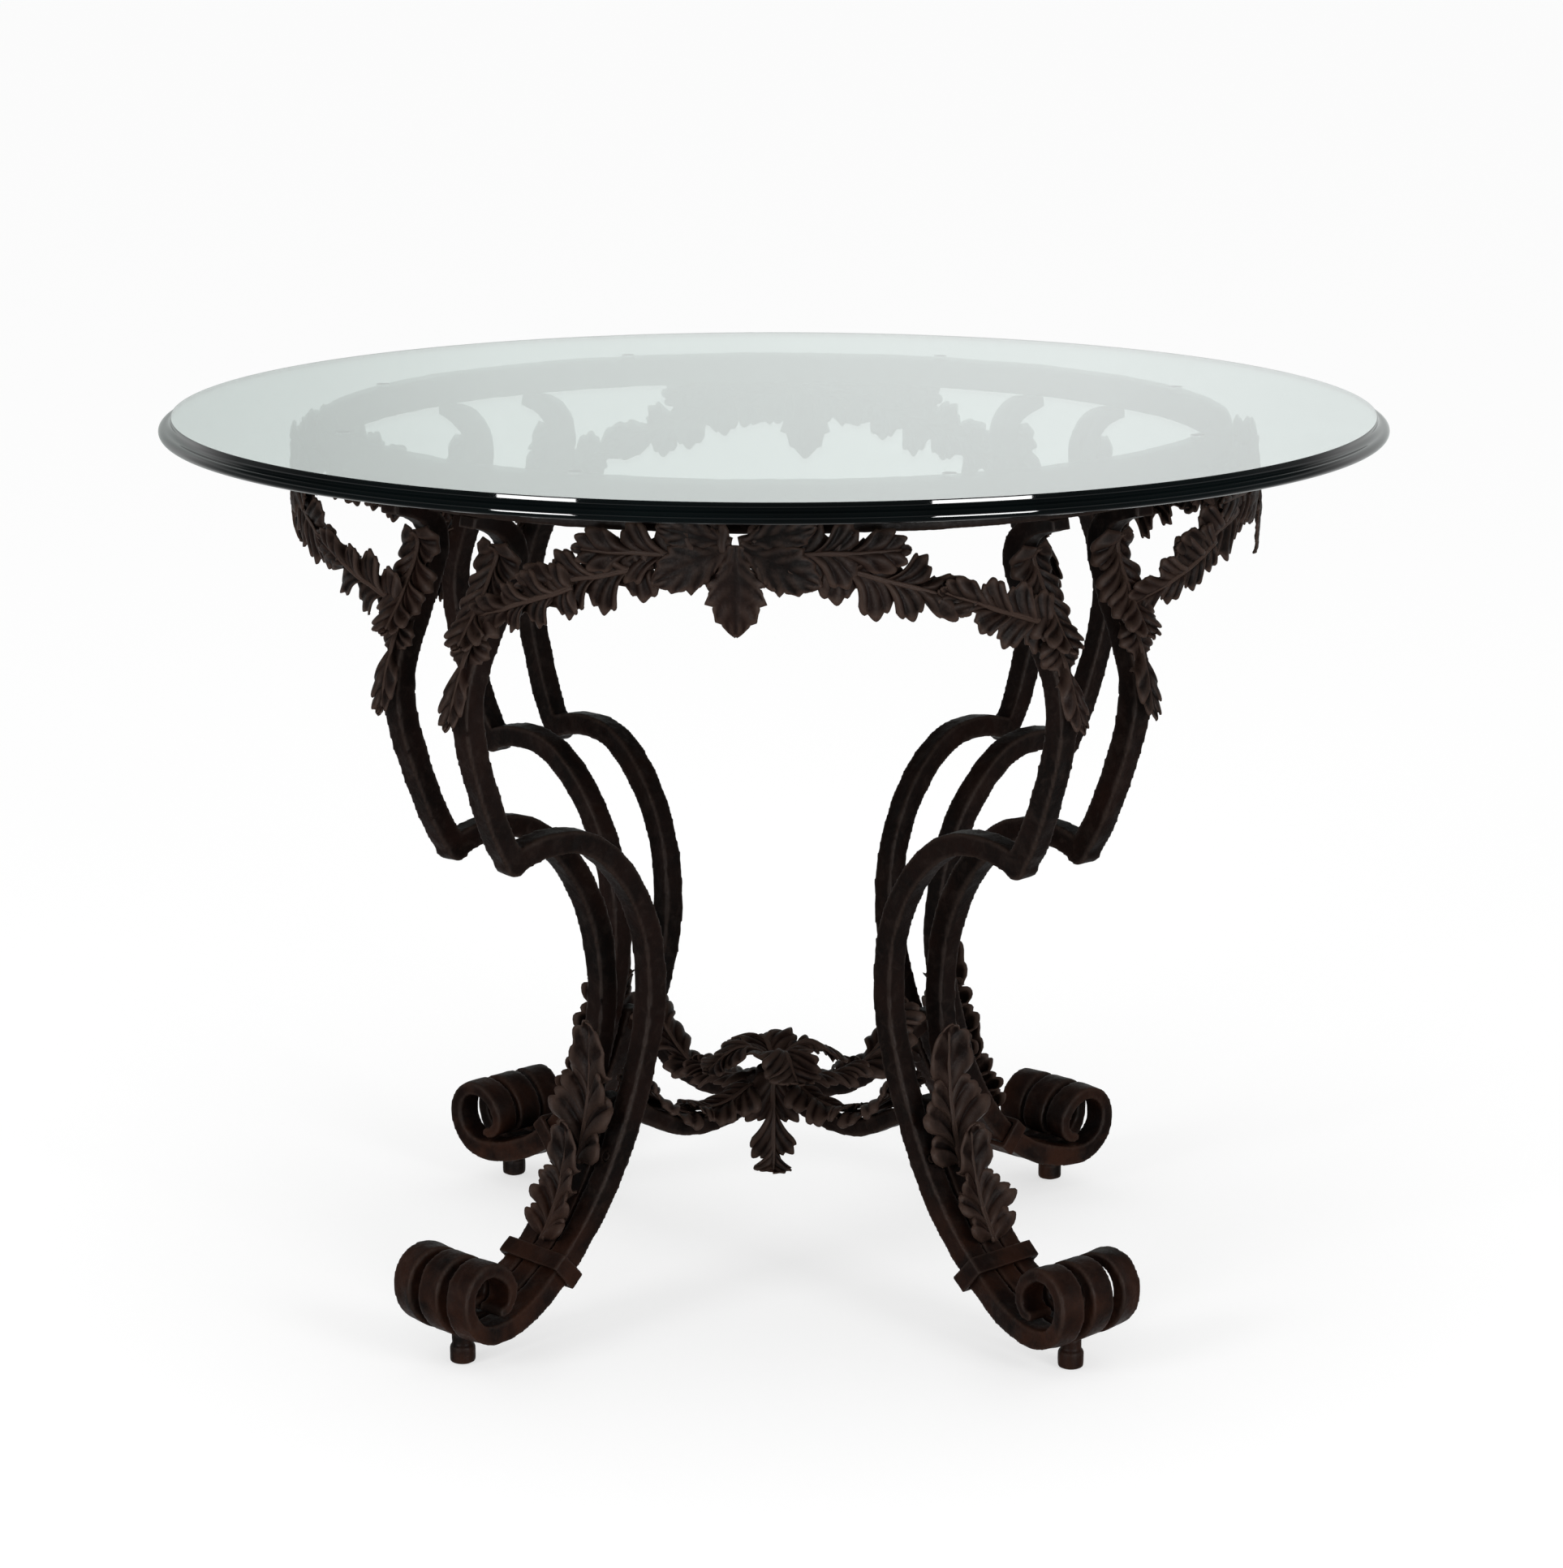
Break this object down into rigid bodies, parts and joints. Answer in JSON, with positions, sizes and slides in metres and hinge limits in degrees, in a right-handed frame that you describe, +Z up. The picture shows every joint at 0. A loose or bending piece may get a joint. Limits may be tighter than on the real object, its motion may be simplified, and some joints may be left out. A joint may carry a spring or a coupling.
{
  "type": "center table",
  "caption": "Round glass-topped center table on a forged iron base of paired curved bars with acanthus leaves, leaf garlands, scrolled feet and a sagging cross stretcher.",
  "frame": {"origin": "on the floor under the middle of the table", "axes": "+Z up, -Y towards the front side of the picture, +X to the right; the four legs stand on the diagonals"},
  "size_m": [1.067, 1.067, 0.788],
  "materials": {
    "glass": "polished clear",
    "clear_pad": "soft translucent",
    "forged_iron": "dark brown patina, hammered",
    "leaf_iron": "dark brown patina, rusty in the hollows"
  },
  "bodies": {
    "root": {"back_garland": "leaf_iron", "back_left_ankle_leaf": "leaf_iron", "back_left_arm_leaves": "leaf_iron", "back_left_centre_bar": "forged_iron", "back_left_collar": "forged_iron", "back_left_foot_peg": "forged_iron", "back_left_knee_leaf": "leaf_iron", "back_left_left_bar": "forged_iron", "back_left_left_shoulder_leaves": "leaf_iron", "back_left_right_bar": "forged_iron", "back_left_right_shoulder_leaves": "leaf_iron", "back_left_stretcher_arm": "forged_iron", "back_right_ankle_leaf": "leaf_iron", "back_right_arm_leaves": "leaf_iron", "back_right_centre_bar": "forged_iron", "back_right_collar": "forged_iron", "back_right_foot_peg": "forged_iron", "back_right_knee_leaf": "leaf_iron", "back_right_left_bar": "forged_iron", "back_right_left_shoulder_leaves": "leaf_iron", "back_right_right_bar": "forged_iron", "back_right_right_shoulder_leaves": "leaf_iron", "back_right_stretcher_arm": "forged_iron", "back_rosette": "leaf_iron", "front_garland": "leaf_iron", "front_left_ankle_leaf": "leaf_iron", "front_left_arm_leaves": "leaf_iron", "front_left_centre_bar": "forged_iron", "front_left_collar": "forged_iron", "front_left_foot_peg": "forged_iron", "front_left_knee_leaf": "leaf_iron", "front_left_left_bar": "forged_iron", "front_left_left_shoulder_leaves": "leaf_iron", "front_left_right_bar": "forged_iron", "front_left_right_shoulder_leaves": "leaf_iron", "front_left_stretcher_arm": "forged_iron", "front_right_ankle_leaf": "leaf_iron", "front_right_arm_leaves": "leaf_iron", "front_right_centre_bar": "forged_iron", "front_right_collar": "forged_iron", "front_right_foot_peg": "forged_iron", "front_right_knee_leaf": "leaf_iron", "front_right_left_bar": "forged_iron", "front_right_left_shoulder_leaves": "leaf_iron", "front_right_right_bar": "forged_iron", "front_right_right_shoulder_leaves": "leaf_iron", "front_right_stretcher_arm": "forged_iron", "front_rosette": "leaf_iron", "glass_pads": "clear_pad", "hub_pendant_leaf": "leaf_iron", "hub_rosette": "leaf_iron", "left_garland": "leaf_iron", "left_rosette": "leaf_iron", "leg_rivets": "forged_iron", "right_garland": "leaf_iron", "right_rosette": "leaf_iron", "stretcher_hub": "forged_iron", "top_ring": "forged_iron"},
    "glass": {"glass_top": "glass"}
  },
  "joints": [
    {"name": "glass_lift", "type": "slide", "parent": "root", "child": "glass", "axis": [0, 0, 1], "range_m": [0, 0.15]}
  ]
}
